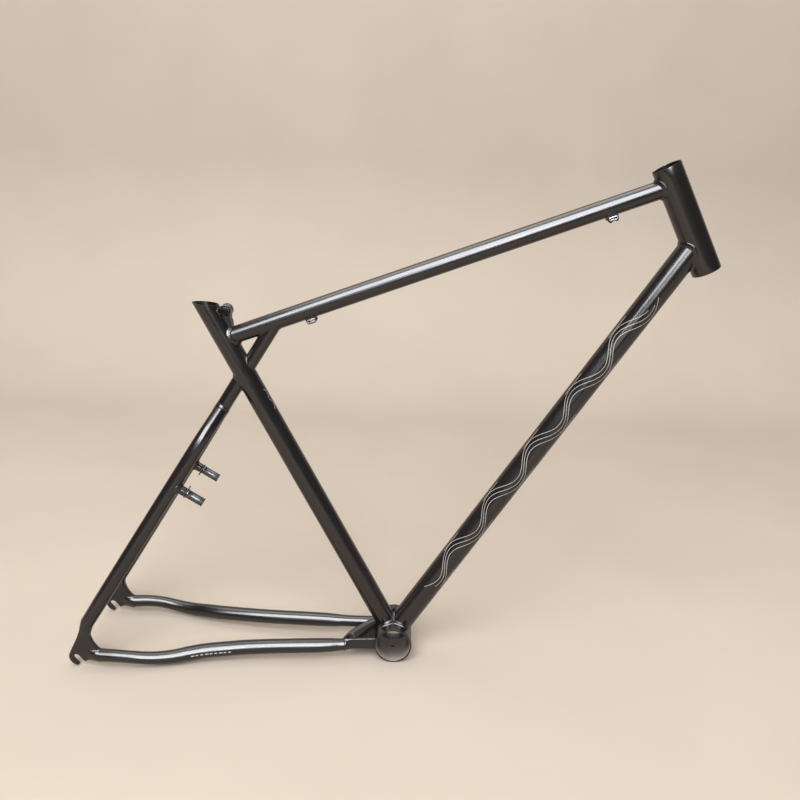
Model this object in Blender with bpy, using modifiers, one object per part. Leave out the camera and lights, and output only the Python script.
# Rigid bicycle frame, welded from round tubes, with a one-tube upper seatstay
# that carries on through the seat tube line as a brace under the top tube.
#
# X points forward (towards the head tube), Y to the bicycle's left, Z up.
# The origin is the centre of the bottom bracket shell.  The frame is held the
# way it stands on a floor by itself, on the bottom bracket shell and on the
# tips of the two dropouts: nose up by STANDING_TILT from its riding attitude.
# All angles below are the usual riding-attitude angles.  Metres throughout.

import bpy
import bmesh
import math
from mathutils import Matrix, Vector

MM = 0.001

# ---------------------------------------------------------------- geometry
BB_DROP = 70.0 * MM              # rear axle above the bottom bracket, riding
CHAINSTAY_LENGTH = 432.0 * MM    # bottom bracket centre to rear axle
AXLE_LOW = 13.4 * MM             # rear axle below the bottom bracket, standing
STANDING_TILT = math.asin(BB_DROP / CHAINSTAY_LENGTH) + math.asin(AXLE_LOW / CHAINSTAY_LENGTH)

HEAD_ANGLE = 72.4
SEAT_ANGLE = 72.1
TOP_TUBE_RISE = 10.2             # slope of the top tube, rising forward
DOWN_TUBE_RISE = 47.05
SEATSTAY_RISE = 48.1

TOP_TUBE_UP_SEAT = 486.8 * MM    # bottom bracket to top tube, along the seat tube
STAY_UP_SEAT = 436.1 * MM        # bottom bracket to the stay line, along the seat tube
TOP_TUBE_LENGTH = 594.3 * MM     # seat axis to head axis
HEAD_ABOVE_TOP_TUBE = 24.8 * MM
HEAD_BELOW_TOP_TUBE = 116.6 * MM
DOWN_BELOW_TOP_TUBE = 77.3 * MM  # down tube to top tube, along the head axis
DOWN_FOOT_UP_SEAT = 1.6 * MM
SEAT_TUBE_LENGTH = 537.9 * MM    # centre to the middle of the top rim
RIM_DROP = 3.5                   # degrees the cut rim falls towards the front, as the frame stands

# ---------------------------------------------------------------- tubes
GAP = 0.3 * MM
HEAD_OD, HEAD_ID = 36.4 * MM, 34.0 * MM
HEAD_SEAT_ID = 34.6 * MM         # chamfered mouth for the headset cups
SEAT_OD, SEAT_ID = 28.6 * MM, 27.2 * MM
TOP_OD, TOP_WALL = 22.8 * MM, 1.0 * MM
DOWN_OD, DOWN_WALL = 31.8 * MM, 1.0 * MM
MONO_OD, MONO_WALL = 19.0 * MM, 1.0 * MM
STAY_WALL = 1.2 * MM

SHELL_OD = 52.0 * MM
SHELL_WIDTH = 68.0 * MM
SHELL_THREAD_R = 23.1 * MM       # crest radius of the M47 cup thread
SHELL_RELIEF_R = 23.9 * MM
SHELL_MOUTH_R = 24.2 * MM
THREAD_LENGTH = 16.0 * MM

# ---------------------------------------------------------------- stays
# Seatstay: distance down the stay line from the seat tube axis, half spread,
# diameter.  The upper part bends in to the single tube.
MONO_END = 80.0 * MM
SEATSTAY_STATIONS = [
    (52.0, -7.2, 18.2), (62.0, 2.0, 18.2), (71.0, 10.3, 18.4), (80.0, 18.3, 18.7),
    (88.0, 24.6, 18.9), (97.0, 29.9, 19.0), (108.0, 33.8, 19.0), (122.0, 36.5, 19.0),
    (145.0, 39.4, 19.1), (170.7, 42.0, 19.2), (225.0, 47.6, 19.3), (280.0, 53.3, 19.4),
    (335.0, 59.1, 19.3), (370.0, 62.8, 19.0), (385.0, 64.4, 18.6), (400.0, 66.0, 18.2),
]
# Chainstay: distance behind the bottom bracket, half spread, height, diameter.
CHAINSTAY_STATIONS = [
    (399.0, 70.3, -9.0, 17.6), (376.0, 71.8, -8.6, 16.6), (354.0, 71.2, -9.8, 16.5),
    (336.0, 68.6, -12.0, 16.9), (318.0, 64.6, -13.3, 17.6), (300.0, 60.0, -13.1, 18.6),
    (282.0, 54.8, -11.4, 19.6), (262.0, 49.6, -9.9, 20.0), (235.0, 45.1, -8.5, 20.0),
    (205.0, 40.8, -7.2, 20.0), (170.0, 37.6, -6.1, 20.0), (130.0, 35.1, -4.9, 20.0),
    (105.0, 33.5, -4.3, 19.8), (88.0, 32.0, -3.7, 18.6), (76.0, 31.0, -3.2, 16.8),
    (66.0, 30.0, -2.8, 16.4), (46.0, 28.4, -1.6, 16.4), (18.0, 26.6, 0.0, 16.4),
]
RIGHT_STAY_END = 16              # the right stay stops at this station, on the yoke

# ---------------------------------------------------------------- yoke
# The right chainstay ends on a half yoke: an upright outer leg that leaves
# room for the chainrings, an inner wall that crosses over to the left stay,
# and a thin floor between them.  Plan view, forward and left positive.
YOKE_BACK = -68.6 * MM
YOKE_OUTER = [(-61.0, -31.8), (-50.0, -31.2), (-36.0, -31.0), (-14.0, -31.0)]
YOKE_INNER = [(-66.0, -26.4), (-61.0, -15.0), (-56.0, -7.6), (-48.0, 1.6), (-39.0, 11.2), (-24.0, 23.0)]
YOKE_LEG = 3.8 * MM
YOKE_WALL = 4.2 * MM
YOKE_FLOOR = 3.0 * MM
YOKE_HEIGHT = 16.0 * MM
YOKE_LEAN = 0.0575               # rise of its mid height per unit forward

# ---------------------------------------------------------------- dropouts
AXLE = Vector((-math.sqrt(CHAINSTAY_LENGTH ** 2 - AXLE_LOW ** 2), 0.0, -AXLE_LOW))
DROPOUT_SPACING = 134.0 * MM     # between the inner faces
DROPOUT_THICK = 6.0 * MM
SLOT_WIDTH = 10.0 * MM
SLOT_ANGLE = -50.0               # standing: opens forward and down
# Outline of the plate around the axle centre, clockwise from the seatstay.
DROPOUT_OUTLINE = [
    (12.0, 57.0), (6.0, 42.0), (1.2, 29.4), (-6.4, 13.2), (-10.4, 3.0), (-9.4, -3.4),
    (-6.0, -8.4), (-1.6, -10.9), (3.0, -10.6), (9.0, -9.4), (13.4, -4.2), (18.0, -2.9),
    (24.0, -4.0), (34.0, -6.4), (46.0, -7.4), (46.5, 4.5), (45.0, 12.6), (36.2, 15.0),
    (28.0, 19.8), (22.4, 27.4), (19.6, 37.0), (20.6, 44.0), (25.5, 54.0),
]

# ---------------------------------------------------------------- brake bosses
BOSS_DOWN_STAY = 170.7 * MM
BOSS_SPREAD = 43.0 * MM          # half of the boss spacing
BOSS_BASE_OD, BOSS_BASE_END = 12.4 * MM, 18.8 * MM
SPRING_PLATE_OD, SPRING_PLATE_THICK = 14.4 * MM, 1.8 * MM
STUD_OD, STUD_END = 11.4 * MM, 43.6 * MM
STUD_CAP_END = 45.6 * MM

# ---------------------------------------------------------------- seat binder
BINDER_UP_SEAT = 517.9 * MM
BINDER_OFFSET = 19.2 * MM
BINDER_OD = 14.6 * MM
BINDER_HALF = 8.6 * MM           # half of the overall width of the two ears
BINDER_SLOT = 2.2 * MM
BINDER_SLOT_LENGTH = 44.0 * MM   # down the seat tube from the bolt
BOLT_PITCH = 1.0 * MM            # M6

# ---------------------------------------------------------------- cable guides
GUIDE_REAR = 115.3 * MM          # along the top tube from the seat tube axis
GUIDE_FRONT = 513.1 * MM

COARSE, FINE = 24, 36


# ================================================================ helpers
def direction(angle):
    a = math.radians(angle) + STANDING_TILT
    return Vector((math.cos(a), 0.0, math.sin(a)))


Y = Vector((0.0, 1.0, 0.0))
SEAT_UP = direction(180.0 - SEAT_ANGLE)
HEAD_UP = direction(180.0 - HEAD_ANGLE)
TOP_FWD = direction(TOP_TUBE_RISE)
STAY_UP = direction(SEATSTAY_RISE)
SEAT_FRONT = Vector((SEAT_UP.z, 0.0, -SEAT_UP.x))
BOSS_OUT = Vector((STAY_UP.z, 0.0, -STAY_UP.x))

BB = Vector((0.0, 0.0, 0.0))
SEAT_TOP = SEAT_UP * SEAT_TUBE_LENGTH
TT_REAR = SEAT_UP * TOP_TUBE_UP_SEAT
TT_FRONT = TT_REAR + TOP_FWD * TOP_TUBE_LENGTH
HEAD_TOP = TT_FRONT + HEAD_UP * HEAD_ABOVE_TOP_TUBE
HEAD_BOTTOM = TT_FRONT - HEAD_UP * HEAD_BELOW_TOP_TUBE
DT_FRONT = TT_FRONT - HEAD_UP * DOWN_BELOW_TOP_TUBE
DT_FOOT = SEAT_UP * DOWN_FOOT_UP_SEAT
STAY_CROSS = SEAT_UP * STAY_UP_SEAT


def meet(p, u, q, v):
    """Point on line p + t u where it meets line q + s v, in the XZ plane."""
    det = -u.x * v.z + u.z * v.x
    d = q - p
    t = (-d.x * v.z + d.z * v.x) / det
    return p + u * t


BRACE_TOP = meet(STAY_CROSS, STAY_UP, TT_REAR, TOP_FWD)


def clear():
    for obj in list(bpy.data.objects):
        bpy.data.objects.remove(obj, do_unlink=True)
    for coll in list(bpy.data.collections):
        bpy.data.collections.remove(coll)


clear()
PARTS = bpy.data.collections.new("bicycle_frame")
CUTTERS = bpy.data.collections.new("cutters")
bpy.context.scene.collection.children.link(PARTS)
bpy.context.scene.collection.children.link(CUTTERS)


def material(name, color, rough, metal):
    mat = bpy.data.materials.new(name)
    mat.use_nodes = True
    bsdf = mat.node_tree.nodes["Principled BSDF"]
    bsdf.inputs["Base Color"].default_value = (*color, 1.0)
    bsdf.inputs["Roughness"].default_value = rough
    bsdf.inputs["Metallic"].default_value = metal
    mat.diffuse_color = (*color, 1.0)
    return mat


BLACK = dict(color=(0.030, 0.028, 0.028), rough=0.38, metal=0.0)
STEEL = dict(color=(0.42, 0.43, 0.45), rough=0.30, metal=1.0)
ALLOY = dict(color=(0.75, 0.75, 0.77), rough=0.35, metal=1.0)
BOLT_BLACK = dict(color=(0.05, 0.05, 0.055), rough=0.35, metal=1.0)
RUBBER = dict(color=(0.018, 0.018, 0.018), rough=0.75, metal=0.0)


def place(name, mesh, look=None, cutter=False, matrix=None):
    obj = bpy.data.objects.new(name, mesh)
    if matrix is not None:
        obj.matrix_world = matrix
    if cutter:
        CUTTERS.objects.link(obj)
        obj.hide_render = True
        obj.display_type = 'WIRE'
    else:
        PARTS.objects.link(obj)
        mesh.materials.append(material(name, **(look or BLACK)))
        mesh.shade_smooth()
        mesh.set_sharp_from_angle(angle=math.radians(35.0))
    return obj


def frame_at(origin, axis, side=Y):
    """Matrix whose Z runs along axis and whose Y is side."""
    z = axis.normalized()
    y = (side - z * side.dot(z)).normalized()
    x = y.cross(z)
    m = Matrix((x, y, z)).transposed().to_4x4()
    m.translation = origin
    return m


def cylinder(name, start, end, radius, segments=COARSE, look=None, cutter=False, radius_end=None):
    axis = end - start
    bm = bmesh.new()
    bmesh.ops.create_cone(bm, cap_ends=True, cap_tris=False, segments=segments,
                          radius1=radius, radius2=radius if radius_end is None else radius_end,
                          depth=axis.length)
    mesh = bpy.data.meshes.new(name)
    bm.to_mesh(mesh)
    bm.free()
    side = Y if abs(axis.normalized().dot(Y)) < 0.9 else Vector((1.0, 0.0, 0.0))
    return place(name, mesh, look, cutter, frame_at((start + end) / 2, axis, side))


def box(name, centre, x_axis, z_axis, size, look=None, cutter=False, bevel=0.0):
    bm = bmesh.new()
    bmesh.ops.create_cube(bm, size=1.0)
    bmesh.ops.scale(bm, vec=size, verts=bm.verts)
    mesh = bpy.data.meshes.new(name)
    bm.to_mesh(mesh)
    bm.free()
    z = z_axis.normalized()
    x = (x_axis - z * x_axis.dot(z)).normalized()
    m = Matrix((x, z.cross(x), z)).transposed().to_4x4()
    m.translation = centre
    obj = place(name, mesh, look, cutter, m)
    if bevel:
        mod = obj.modifiers.new("edges", 'BEVEL')
        mod.width = bevel
        mod.segments = 2
        mod.limit_method = 'ANGLE'
    return obj


def turned(name, profile, matrix, steps=FINE, look=None, cutter=False, closed=True):
    """Profile of (radius, height) points, down the outer side from the top."""
    bm = bmesh.new()
    verts = [bm.verts.new((r, 0.0, z)) for r, z in profile]
    for a, b in zip(verts, verts[1:]):
        bm.edges.new((a, b))
    if closed:
        bm.edges.new((verts[-1], verts[0]))
    mesh = bpy.data.meshes.new(name)
    bm.to_mesh(mesh)
    bm.free()
    obj = place(name, mesh, look, cutter, matrix)
    mod = obj.modifiers.new("turn", 'SCREW')
    mod.angle = math.tau
    mod.steps = steps
    mod.render_steps = steps
    mod.axis = 'Z'
    mod.use_merge_vertices = True
    mod.merge_threshold = 0.00001
    mod.use_smooth_shade = True
    return obj


def boolean(obj, other, operation):
    mod = obj.modifiers.new(operation.lower() + "_" + other.name, 'BOOLEAN')
    mod.operation = operation
    mod.solver = 'EXACT'
    mod.object = other


def cut(obj, *others):
    for other in others:
        boolean(obj, other, 'DIFFERENCE')
    return obj


def join(obj, *others):
    for other in others:
        boolean(obj, other, 'UNION')
    return obj


def swept_tube(name, points, radii, resolution=6, look=None, cutter=False, wall=None):
    """Round bar along points, made as a bevelled curve and turned into a mesh.

    With a wall it is an open-ended tube, thickened inwards.
    """
    curve = bpy.data.curves.new(name + "_path", 'CURVE')
    curve.dimensions = '3D'
    curve.bevel_depth = 1.0
    curve.bevel_resolution = resolution
    curve.use_fill_caps = wall is None
    spline = curve.splines.new('POLY')
    spline.points.add(len(points) - 1)
    for p, co, r in zip(spline.points, points, radii):
        p.co = (*co, 1.0)
        p.radius = r
    tmp = bpy.data.objects.new(name + "_path", curve)
    bpy.context.scene.collection.objects.link(tmp)
    bpy.context.view_layer.update()
    evaluated = tmp.evaluated_get(bpy.context.evaluated_depsgraph_get())
    mesh = bpy.data.meshes.new_from_object(evaluated)
    mesh.name = name
    matrix = tmp.matrix_world.copy()
    bpy.data.objects.remove(tmp, do_unlink=True)
    bm = bmesh.new()
    bm.from_mesh(mesh)
    bmesh.ops.remove_doubles(bm, verts=bm.verts, dist=0.00001)
    bmesh.ops.recalc_face_normals(bm, faces=bm.faces)
    bm.to_mesh(mesh)
    bm.free()
    mesh.materials.clear()
    obj = place(name, mesh, look, cutter, matrix)
    if wall:
        mod = obj.modifiers.new("wall", 'SOLIDIFY')
        mod.thickness = wall
        mod.offset = -1.0
        mod.use_even_offset = True
    return obj


def closed_outline(points, per_span):
    """Smooth closed loop through 2D points."""
    n = len(points)
    out = []
    for i in range(n):
        p0, p1, p2, p3 = (Vector(points[(i + k - 1) % n]) for k in range(4))
        for j in range(per_span):
            t = j / per_span
            out.append(0.5 * ((2 * p1) + (p2 - p0) * t + (2 * p0 - 5 * p1 + 4 * p2 - p3) * t * t
                              + (3 * p1 - p0 - 3 * p2 + p3) * t ** 3))
    return out


def plate(name, outline, origin, thickness, look=None, cutter=False):
    """Flat outline in the XZ plane through origin, thickened evenly along Y."""
    curve = bpy.data.curves.new(name + "_outline", 'CURVE')
    curve.dimensions = '2D'
    curve.fill_mode = 'BOTH'
    curve.extrude = thickness / 2
    spline = curve.splines.new('POLY')
    spline.points.add(len(outline) - 1)
    for p, co in zip(spline.points, outline):
        p.co = (co[0], co[1], 0.0, 1.0)
    spline.use_cyclic_u = True
    tmp = bpy.data.objects.new(name + "_outline", curve)
    tmp.matrix_world = Matrix.Translation(origin) @ Matrix.Rotation(math.radians(90.0), 4, 'X')
    bpy.context.scene.collection.objects.link(tmp)
    bpy.context.view_layer.update()
    evaluated = tmp.evaluated_get(bpy.context.evaluated_depsgraph_get())
    mesh = bpy.data.meshes.new_from_object(evaluated)
    mesh.name = name
    matrix = tmp.matrix_world.copy()
    bpy.data.objects.remove(tmp, do_unlink=True)
    bm = bmesh.new()
    bm.from_mesh(mesh)
    bmesh.ops.remove_doubles(bm, verts=bm.verts, dist=0.00001)
    bmesh.ops.recalc_face_normals(bm, faces=bm.faces)
    bm.to_mesh(mesh)
    bm.free()
    mesh.materials.clear()
    return place(name, mesh, look, cutter, matrix)


def loft(name, sections, count=24, look=None, cutter=False):
    """Skin between unlike sections: (centre, u, v, half_u, half_v, squareness)."""
    bm = bmesh.new()
    rings = []
    for centre, u, v, a, b, n in sections:
        ring = []
        for k in range(count):
            t = math.tau * k / count
            c, s = math.cos(t), math.sin(t)
            ring.append(bm.verts.new(centre
                                     + u * (a * math.copysign(abs(c) ** (2.0 / n), c))
                                     + v * (b * math.copysign(abs(s) ** (2.0 / n), s))))
        rings.append(ring)
    for r0, r1 in zip(rings, rings[1:]):
        for k in range(count):
            bm.faces.new((r0[k], r0[(k + 1) % count], r1[(k + 1) % count], r1[k]))
    bm.faces.new(list(reversed(rings[0])))
    bm.faces.new(rings[-1])
    bmesh.ops.recalc_face_normals(bm, faces=bm.faces)
    mesh = bpy.data.meshes.new(name)
    bm.to_mesh(mesh)
    bm.free()
    return place(name, mesh, look, cutter)


# ================================================================ main tubes
# clearance cutters, one for each tube that others are mitred to
seat_clear = cylinder("cut_seat", SEAT_UP * -60 * MM, SEAT_UP * 620 * MM, SEAT_OD / 2 + GAP, FINE, cutter=True)
head_clear = cylinder("cut_head", HEAD_BOTTOM - HEAD_UP * 30 * MM, HEAD_TOP + HEAD_UP * 30 * MM,
                      HEAD_OD / 2 + GAP, FINE, cutter=True)
top_clear = cylinder("cut_top", TT_REAR, TT_FRONT, TOP_OD / 2 + GAP, COARSE, cutter=True)
shell_clear = cylinder("cut_shell", Y * -60 * MM, Y * 60 * MM, SHELL_OD / 2 + GAP, FINE, cutter=True)

# head tube: a plain sleeve with a chamfered mouth at each end
hl = (HEAD_TOP - HEAD_BOTTOM).length
HEAD_MID = (HEAD_TOP + HEAD_BOTTOM) / 2
head_tube = turned("head_tube", [
    (HEAD_OD / 2 - 0.3 * MM, hl / 2), (HEAD_OD / 2, hl / 2 - 0.3 * MM),
    (HEAD_OD / 2, -hl / 2 + 0.3 * MM), (HEAD_OD / 2 - 0.3 * MM, -hl / 2),
    (HEAD_SEAT_ID / 2, -hl / 2), (HEAD_ID / 2, -hl / 2 + 0.6 * MM),
    (HEAD_ID / 2, hl / 2 - 0.6 * MM), (HEAD_SEAT_ID / 2, hl / 2),
], frame_at(HEAD_MID, HEAD_UP), FINE)

# bottom bracket shell: threaded at both ends, relieved in the middle
w = SHELL_WIDTH / 2
shell_profile = [
    (SHELL_OD / 2 - 0.4 * MM, w), (SHELL_OD / 2, w - 0.4 * MM),
    (SHELL_OD / 2, -w + 0.4 * MM), (SHELL_OD / 2 - 0.4 * MM, -w),
    (SHELL_MOUTH_R, -w), (SHELL_THREAD_R, -w + 1.2 * MM),
    (SHELL_THREAD_R, -w + THREAD_LENGTH), (SHELL_RELIEF_R, -w + THREAD_LENGTH + 0.8 * MM),
    (SHELL_RELIEF_R, w - THREAD_LENGTH - 0.8 * MM), (SHELL_THREAD_R, w - THREAD_LENGTH),
    (SHELL_THREAD_R, w - 1.2 * MM), (SHELL_MOUTH_R, w),
]
shell = turned("bottom_bracket_shell", shell_profile, frame_at(BB, Y, Vector((0, 0, 1))), 64)
# drain hole at the bottom
cut(shell, cylinder("cut_drain", Vector((0, 0, -20 * MM)), Vector((0, 0, -32 * MM)), 2.6 * MM, 16, cutter=True))

# seat tube: reamed for the post, cut nearly level at the top, slotted for the binder
seat_tube = cylinder("seat_tube", BB, SEAT_UP * 580 * MM, SEAT_OD / 2, FINE)
cut(seat_tube, cylinder("cut_seat_bore", SEAT_UP * -20 * MM, SEAT_UP * 600 * MM, SEAT_ID / 2, FINE, cutter=True))
cut(seat_tube, shell_clear)
drop = math.radians(RIM_DROP)
rim_up = Vector((math.sin(drop), 0, math.cos(drop)))
cut(seat_tube, box("cut_seat_top", SEAT_TOP + rim_up * 50 * MM, Vector((rim_up.z, 0, -rim_up.x)), rim_up,
                   (200 * MM, 80 * MM, 100 * MM), cutter=True))
SLOT_TOP = SEAT_UP * (BINDER_UP_SEAT + 40 * MM)
SLOT_FOOT = SEAT_UP * (TOP_TUBE_UP_SEAT + TOP_OD / 2 + 4.2 * MM)
slot = box("cut_seat_slot", (SLOT_TOP + SLOT_FOOT) / 2 + SEAT_FRONT * 20 * MM, SEAT_FRONT, SEAT_UP,
           (34 * MM, BINDER_SLOT, (SLOT_TOP - SLOT_FOOT).length), cutter=True)
slot_end = cylinder("cut_slot_end", SLOT_FOOT + SEAT_FRONT * 4 * MM, SLOT_FOOT + SEAT_FRONT * 36 * MM,
                    2.0 * MM, 16, cutter=True)
cut(seat_tube, slot, slot_end)

# top tube
top_tube = cylinder("top_tube", TT_REAR, TT_FRONT, TOP_OD / 2, COARSE)
cut(top_tube, cylinder("cut_top_bore", TT_REAR - TOP_FWD * 20 * MM, TT_FRONT + TOP_FWD * 20 * MM,
                       TOP_OD / 2 - TOP_WALL, COARSE, cutter=True), seat_clear, head_clear)

# down tube
DT_FWD = (DT_FRONT - DT_FOOT).normalized()
down_tube = cylinder("down_tube", DT_FOOT, DT_FRONT, DOWN_OD / 2, COARSE)
cut(down_tube, cylinder("cut_down_bore", DT_FOOT - DT_FWD * 20 * MM, DT_FRONT + DT_FWD * 20 * MM,
                        DOWN_OD / 2 - DOWN_WALL, COARSE, cutter=True),
    shell_clear, seat_clear, head_clear)

# the stay line in front of the seat tube: brace up to the top tube
brace = cylinder("top_tube_brace", STAY_CROSS, BRACE_TOP, MONO_OD / 2, COARSE)
cut(brace, cylinder("cut_brace_bore", STAY_CROSS - STAY_UP * 20 * MM, BRACE_TOP + STAY_UP * 20 * MM,
                    MONO_OD / 2 - MONO_WALL, COARSE, cutter=True), seat_clear, top_clear)

# the stay line behind the seat tube: single upper stay
MONO_FOOT = STAY_CROSS - STAY_UP * MONO_END
mono = cylinder("upper_stay", STAY_CROSS, MONO_FOOT, MONO_OD / 2, COARSE)
cut(mono, cylinder("cut_mono_bore", STAY_CROSS + STAY_UP * 20 * MM, MONO_FOOT - STAY_UP * 20 * MM,
                   MONO_OD / 2 - MONO_WALL, COARSE, cutter=True), seat_clear)
mono_clear = cylinder("cut_mono", STAY_CROSS, MONO_FOOT - STAY_UP * GAP, MONO_OD / 2 + GAP, COARSE, cutter=True)


# ================================================================ stays
def mirrored(side, v):
    return Vector((v[0], side * v[1], v[2]))


def seatstay_point(s, y):
    p = STAY_CROSS - STAY_UP * s
    return Vector((p.x, y, p.z))


seat_path = SEATSTAY_STATIONS
chain_path = CHAINSTAY_STATIONS


def stay(name, side, points, radii, cutters):
    return cut(swept_tube(name, [mirrored(side, p) for p in points], radii, wall=STAY_WALL), *cutters)


for side, tag in ((1, "left"), (-1, "right")):
    mid = box("cut_mid_" + tag, Vector((-200 * MM, side * (-50 * MM + 0.15 * MM), 100 * MM)),
              Vector((1, 0, 0)), Vector((0, 0, 1)), (900 * MM, 100 * MM, 900 * MM), cutter=True)
    # seatstay
    pts = [seatstay_point(s * MM, y * MM) for s, y, d in seat_path]
    stay("seatstay_" + tag, side, pts, [d * MM / 2 for s, y, d in seat_path], (mid, mono_clear))
    # chainstay
    path = chain_path if side > 0 else chain_path[:RIGHT_STAY_END]
    pts = [Vector((-x * MM, y * MM, z * MM)) for x, y, z, d in path]
    chain = stay("chainstay_" + tag, side, pts, [d * MM / 2 for x, y, z, d in path],
                      (shell_clear,) if side > 0 else ())
    if side < 0:
        cut(chain, box("cut_yoke_end", Vector((YOKE_BACK - GAP + 15 * MM, -31 * MM, 0)), Vector((1, 0, 0)),
                       Vector((0, 0, 1)), (30 * MM, 40 * MM, 60 * MM), cutter=True))
    vent = mirrored(side, (-0.3865, 0.0715, -0.0096))
    cut(chain, cylinder("cut_vent_" + tag, vent, vent + Vector((0, -side * 20 * MM, 0)), 1.6 * MM, 12, cutter=True))

    # dropout: forged plate that swells into the two stay ends
    yc = DROPOUT_SPACING / 2 + DROPOUT_THICK / 2
    centre = Vector((AXLE.x, side * yc, AXLE.z))
    outline = [p * MM for p in closed_outline(DROPOUT_OUTLINE, 3)]
    dropout = plate("dropout_" + tag, outline, centre, DROPOUT_THICK)
    # hood on the seatstay end
    s_end, y_end, d_end = seat_path[-1]
    last = [mirrored(side, seatstay_point(s * MM, y * MM)) for s, y, d in seat_path[-2:]]
    out = (last[1] - last[0]).normalized()
    tip = last[1] + out * GAP
    seat_square = box("cut_seat_square_" + tag, tip - out * 20 * MM, out, Y, (40 * MM, 50 * MM, 60 * MM), cutter=True)
    u = Vector((STAY_UP.z, 0, -STAY_UP.x))
    v = out.cross(u)
    if v.y < 0:
        v = -v
    down = -STAY_UP
    r = d_end * MM / 2
    hood_s = loft("cut_hood_seat_" + tag, [
        (tip, u, v, r, r, 2.0),
        (tip + down * 5 * MM + Y * side * 0.7 * MM, u, v, r * 0.98, r * 0.86, 2.1),
        (tip + down * 12 * MM + Y * side * 2.0 * MM, u, Y, r * 0.94, r * 0.56, 2.4),
        (tip + down * 20 * MM + Y * side * 3.0 * MM, u, Y, r * 0.88, 3.6 * MM, 3.0),
        (tip + down * 27 * MM + Y * side * (yc - y_end * MM), u, Y, r * 0.8, 2.7 * MM, 3.4),
    ], cutter=True)
    # hood on the chainstay end
    last = [mirrored(side, (-x * MM, y * MM, z * MM)) for x, y, z, d in chain_path[:2]]
    out = (last[0] - last[1]).normalized()
    tip = last[0] + out * GAP
    chain_square = box("cut_chain_square_" + tag, tip - out * 20 * MM, out, Vector((0, 0, 1)),
                       (40 * MM, 60 * MM, 44 * MM), cutter=True)
    v = Vector((0, 0, 1)).cross(out).normalized()
    if v.y < 0:
        v = -v
    u = out.cross(v)
    if u.z < 0:
        u = -u
    r = chain_path[0][3] * MM / 2
    back = Vector((-1, 0, 0))
    hood_c = loft("cut_hood_chain_" + tag, [
        (tip, u, v, r, r, 2.0),
        (tip + back * 4 * MM, u, v, r * 0.98, r * 0.84, 2.1),
        (tip + back * 9 * MM + Vector((0, 0, 0.6 * MM)), u, Y, r * 0.92, r * 0.5, 2.4),
        (tip + back * 14 * MM + Vector((0, 0, 1.4 * MM)), u, Y, r * 0.8, 2.8 * MM, 3.2),
    ], cutter=True)
    join(dropout, hood_s, hood_c)
    # axle slot, closed end round about the axle
    a = math.radians(SLOT_ANGLE)
    run = Vector((math.cos(a), 0, math.sin(a)))
    slot_round = cylinder("cut_axle_" + tag, centre - Y * 12 * MM, centre + Y * 12 * MM, SLOT_WIDTH / 2, COARSE, cutter=True)
    slot_run = box("cut_axle_run_" + tag, centre + run * 20 * MM, run, Vector((-run.z, 0, run.x)),
                   (40 * MM, 24 * MM, SLOT_WIDTH), cutter=True)
    # both stays end flush against the hoods
    cut(dropout, slot_round, slot_run, seat_square, chain_square)

    # ---------------- brake boss
    root = STAY_CROSS - STAY_UP * BOSS_DOWN_STAY + Y * side * BOSS_SPREAD
    stay_clear = swept_tube("cut_stay_clear_" + tag,
                            [mirrored(side, seatstay_point(s * MM, y * MM)) for s, y, d in seat_path[7:12]],
                            [d * MM / 2 + GAP for s, y, d in seat_path[7:12]], cutter=True)
    spigot = cylinder("cut_spigot_" + tag, root, root + BOSS_OUT * 40 * MM, 4.3 * MM, COARSE, cutter=True)
    base = cylinder("brake_boss_" + tag, root, root + BOSS_OUT * BOSS_BASE_END, BOSS_BASE_OD / 2, COARSE)
    cut(base, stay_clear, spigot)
    p0 = BOSS_BASE_END + GAP
    spring = cylinder("brake_spring_plate_" + tag, root + BOSS_OUT * p0, root + BOSS_OUT * (p0 + SPRING_PLATE_THICK),
                      SPRING_PLATE_OD / 2, COARSE)
    tab_dir = STAY_UP * -side
    tab = box("cut_tab_" + tag, root + BOSS_OUT * (p0 + SPRING_PLATE_THICK / 2) + tab_dir * 8.0 * MM, BOSS_OUT, Y,
              (SPRING_PLATE_THICK, 5.4 * MM, 3.0 * MM), cutter=True)
    join(spring, tab)
    cut(spring, spigot)
    # three spring-end holes
    for k in (-1, 0, 1):
        a = math.radians(38.0 * k)
        off = (tab_dir * -math.cos(a) + Y * side * math.sin(a)) * 5.9 * MM
        hole = cylinder("cut_spring_%s_%d" % (tag, k + 1), root + off, root + off + BOSS_OUT * 30 * MM, 0.8 * MM, 10, cutter=True)
        cut(spring, hole)
    p1 = p0 + SPRING_PLATE_THICK + GAP
    e = STUD_END
    m = frame_at(root, BOSS_OUT)
    stud = turned("brake_stud_" + tag, [
        (STUD_OD / 2 - 0.5 * MM, e), (STUD_OD / 2, e - 0.5 * MM), (STUD_OD / 2, p1),
        (4.0 * MM, p1), (4.0 * MM, 10.6 * MM), (1.0 * MM, 10.6 * MM), (1.0 * MM, 24 * MM),
        (2.6 * MM, 24 * MM), (2.6 * MM, e),
    ], m, COARSE, STEEL)
    turned("brake_stud_cap_" + tag, [
        (STUD_OD / 2 - 0.4 * MM, STUD_CAP_END), (STUD_OD / 2 + 0.2 * MM, STUD_CAP_END - 0.6 * MM),
        (STUD_OD / 2 + 0.2 * MM, e + GAP), (2.2 * MM, e + GAP), (2.2 * MM, e - 7 * MM),
        (0.8 * MM, e - 7 * MM), (0.8 * MM, STUD_CAP_END),
    ], m, COARSE, RUBBER)

# ================================================================ chainstay yoke
def offset_line(points, distance):
    """Polyline moved sideways by distance, to the left of its direction."""
    out = []
    for i, p in enumerate(points):
        q0 = Vector(points[max(i - 1, 0)])
        q1 = Vector(points[min(i + 1, len(points) - 1)])
        t = (q1 - q0).normalized()
        out.append((p[0] - t.y * distance, p[1] + t.x * distance))
    return out


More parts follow.
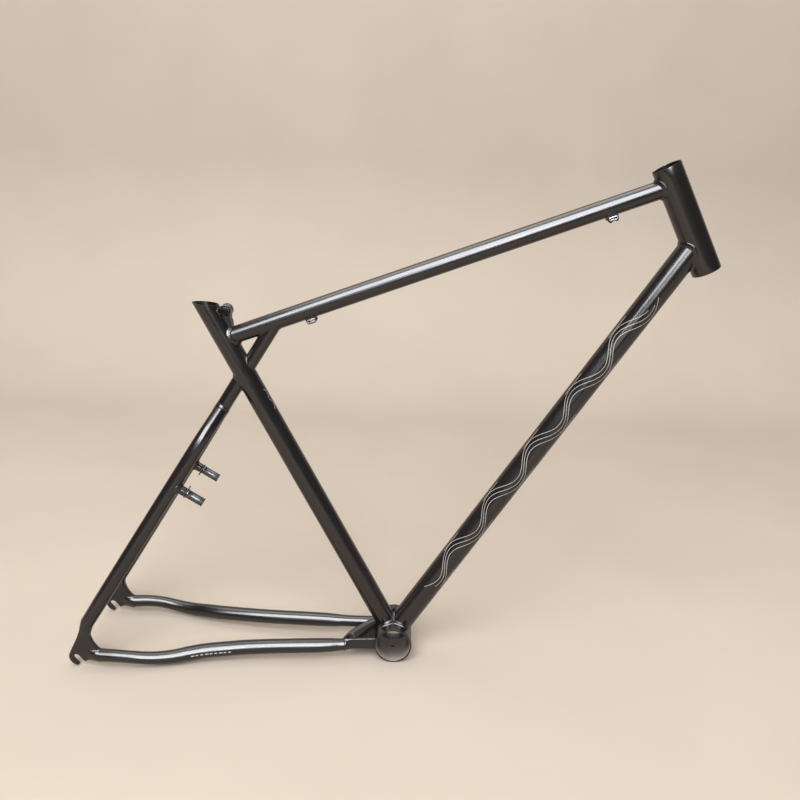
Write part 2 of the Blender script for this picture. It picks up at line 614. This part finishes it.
def plan_plate(name, outline, z_low, z_high, cutter=False):
    """Outline in plan view, raised between two heights."""
    bm = bmesh.new()
    low = [bm.verts.new((x * MM, y * MM, z_low)) for x, y in outline]
    high = [bm.verts.new((x * MM, y * MM, z_high)) for x, y in outline]
    n = len(outline)
    for i in range(n):
        bm.faces.new((low[i], low[(i + 1) % n], high[(i + 1) % n], high[i]))
    bm.faces.new(list(reversed(low)))
    bm.faces.new(high)
    bmesh.ops.recalc_face_normals(bm, faces=bm.faces)
    mesh = bpy.data.meshes.new(name)
    bm.to_mesh(mesh)
    bm.free()
    return place(name, mesh, None, cutter)


def lean(obj):
    """The yoke follows the stays: its mid height falls towards the back."""
    for v in obj.data.vertices:
        v.co.z += 0.4 * MM + YOKE_LEAN * (v.co.x + 27.0 * MM)


top, bottom = YOKE_HEIGHT / 2, -YOKE_HEIGHT / 2
leg_in = offset_line(YOKE_OUTER, YOKE_LEG / MM)
wall_in = offset_line(YOKE_INNER, -YOKE_WALL / MM)
rim = YOKE_OUTER + list(reversed(YOKE_INNER))
yoke = plan_plate("chainstay_yoke", rim, bottom, top)
lean(yoke)
pocket = plan_plate("cut_pocket", leg_in + list(reversed(wall_in[2:])), bottom + YOKE_FLOOR, top + 20 * MM, True)
lean(pocket)
rear = chain_path[14]
tip = Vector((YOKE_BACK, -30.2 * MM, -3.0 * MM))
heel = loft("cut_heel", [
    (tip, Vector((0, 0, 1)), Y, 8.2 * MM, 8.2 * MM, 2.0),
    (tip + Vector((2.4 * MM, 0.8 * MM, 0.4 * MM)), Vector((0, 0, 1)), Y, 8.15 * MM, 7.6 * MM, 2.4),
    (tip + Vector((5.2 * MM, 2.0 * MM, 0.7 * MM)), Vector((0, 0, 1)), Y, 7.9 * MM, 5.6 * MM, 3.6),
    (tip + Vector((10.0 * MM, 1.6 * MM, 0.9 * MM)), Vector((0, 0, 1)), Y, 7.4 * MM, 2.6 * MM, 5.0),
], 20, cutter=True)
join(yoke, heel)
left_clear = swept_tube("cut_left_stay", [Vector((-x * MM, y * MM, z * MM)) for x, y, z, d in chain_path[12:]],
                        [d * MM / 2 + GAP for x, y, z, d in chain_path[12:]], cutter=True)
cut(yoke, pocket, shell_clear, left_clear)

# ================================================================ seat binder
BOLT_C = SEAT_UP * BINDER_UP_SEAT + SEAT_FRONT * BINDER_OFFSET
bolt_hole = cylinder("cut_bolt", BOLT_C - Y * 40 * MM, BOLT_C + Y * 40 * MM, 3.3 * MM, COARSE, cutter=True)
for side, tag in ((1, "left"), (-1, "right")):
    inner, outer = BINDER_SLOT / 2, BINDER_HALF
    a, b = BOLT_C + Y * side * inner, BOLT_C + Y * side * outer
    ear = cylinder("seat_binder_ear_" + tag, a, b, BINDER_OD / 2, COARSE)
    web = box("cut_ear_web_" + tag, (a + b) / 2 - SEAT_FRONT * 6.5 * MM - SEAT_UP * 1.0 * MM, SEAT_FRONT, SEAT_UP,
              (13 * MM, outer - inner, BINDER_OD - 2.0 * MM), cutter=True)
    join(ear, web)
    cut(ear, seat_clear, bolt_hole)
    # recess for the bolt head on the right, for the barrel nut on the left
    depth = 2.6 * MM if side < 0 else 3.2 * MM
    cut(ear, cylinder("cut_recess_" + tag, BOLT_C + Y * side * (outer - depth), BOLT_C + Y * side * (outer + 10 * MM),
                      5.4 * MM, COARSE, cutter=True))

# bolt: head on the right side, shank through both ears into the nut
h = BINDER_HALF
m = frame_at(BOLT_C, -Y, Vector((0, 0, 1)))
washer = turned("seat_binder_washer", [
    (5.1 * MM, h - 1.5 * MM), (5.1 * MM, h - 2.5 * MM), (3.2 * MM, h - 2.5 * MM), (3.2 * MM, h - 1.5 * MM),
], m, COARSE, ALLOY)
bolt = turned("seat_binder_bolt", [
    (4.2 * MM, h + 3.8 * MM), (4.9 * MM, h + 3.1 * MM), (4.9 * MM, h - 1.44 * MM), (2.9 * MM, h - 1.44 * MM),
    (2.9 * MM, -h + 0.6 * MM), (1.0 * MM, -h + 0.6 * MM), (1.0 * MM, h + 0.6 * MM), (2.5 * MM, h + 0.9 * MM),
    (2.5 * MM, h + 3.8 * MM),
], m, COARSE, BOLT_BLACK)
nut = turned("seat_binder_nut", [
    (5.1 * MM, -h + 2.9 * MM), (5.1 * MM, -h - 1.2 * MM), (4.6 * MM, -h - 1.6 * MM), (3.05 * MM, -h - 1.6 * MM),
    (3.05 * MM, -h + 2.9 * MM),
], m, COARSE, BOLT_BLACK)

# ================================================================ cable guides
for tag, along in (("rear", GUIDE_REAR), ("front", GUIDE_FRONT)):
    p = TT_REAR + TOP_FWD * along
    up = Vector((-TOP_FWD.z, 0, TOP_FWD.x))
    body = box("cable_guide_" + tag, p - up * (TOP_OD / 2 + 2.6 * MM), TOP_FWD, up,
               (13 * MM, 15 * MM, 13.4 * MM), bevel=1.2 * MM)
    cut(body, top_clear)
    # two hose channels, open below
    for side in (-1, 1):
        c = p - up * (TOP_OD / 2 + 5.6 * MM) + Y * side * 3.4 * MM
        cut(body, cylinder("cut_hose_%s_%d" % (tag, side + 1), c - TOP_FWD * 12 * MM, c + TOP_FWD * 12 * MM,
                           2.5 * MM, 16, cutter=True))
        cut(body, box("cut_hose_mouth_%s_%d" % (tag, side + 1), c - up * 5 * MM, TOP_FWD, up,
                      (24 * MM, 3.6 * MM, 10 * MM), cutter=True))
    # bright clip plate on the right-hand side with two holes
    clip = box("cable_guide_clip_" + tag, p - up * (TOP_OD / 2 + 4.0 * MM) - Y * (7.5 + 0.9) * MM, TOP_FWD, up,
               (11 * MM, 1.2 * MM, 7.0 * MM), look=ALLOY, bevel=0.3 * MM)
    for k, r in ((-1, 1.7), (1, 1.1)):
        c = p - up * (TOP_OD / 2 + 4.0 * MM) + TOP_FWD * k * 2.8 * MM * (1 if tag == "rear" else -1)
        cut(clip, cylinder("cut_clip_%s_%d" % (tag, k + 1), c - Y * 30 * MM, c, r * MM, 16, cutter=True))
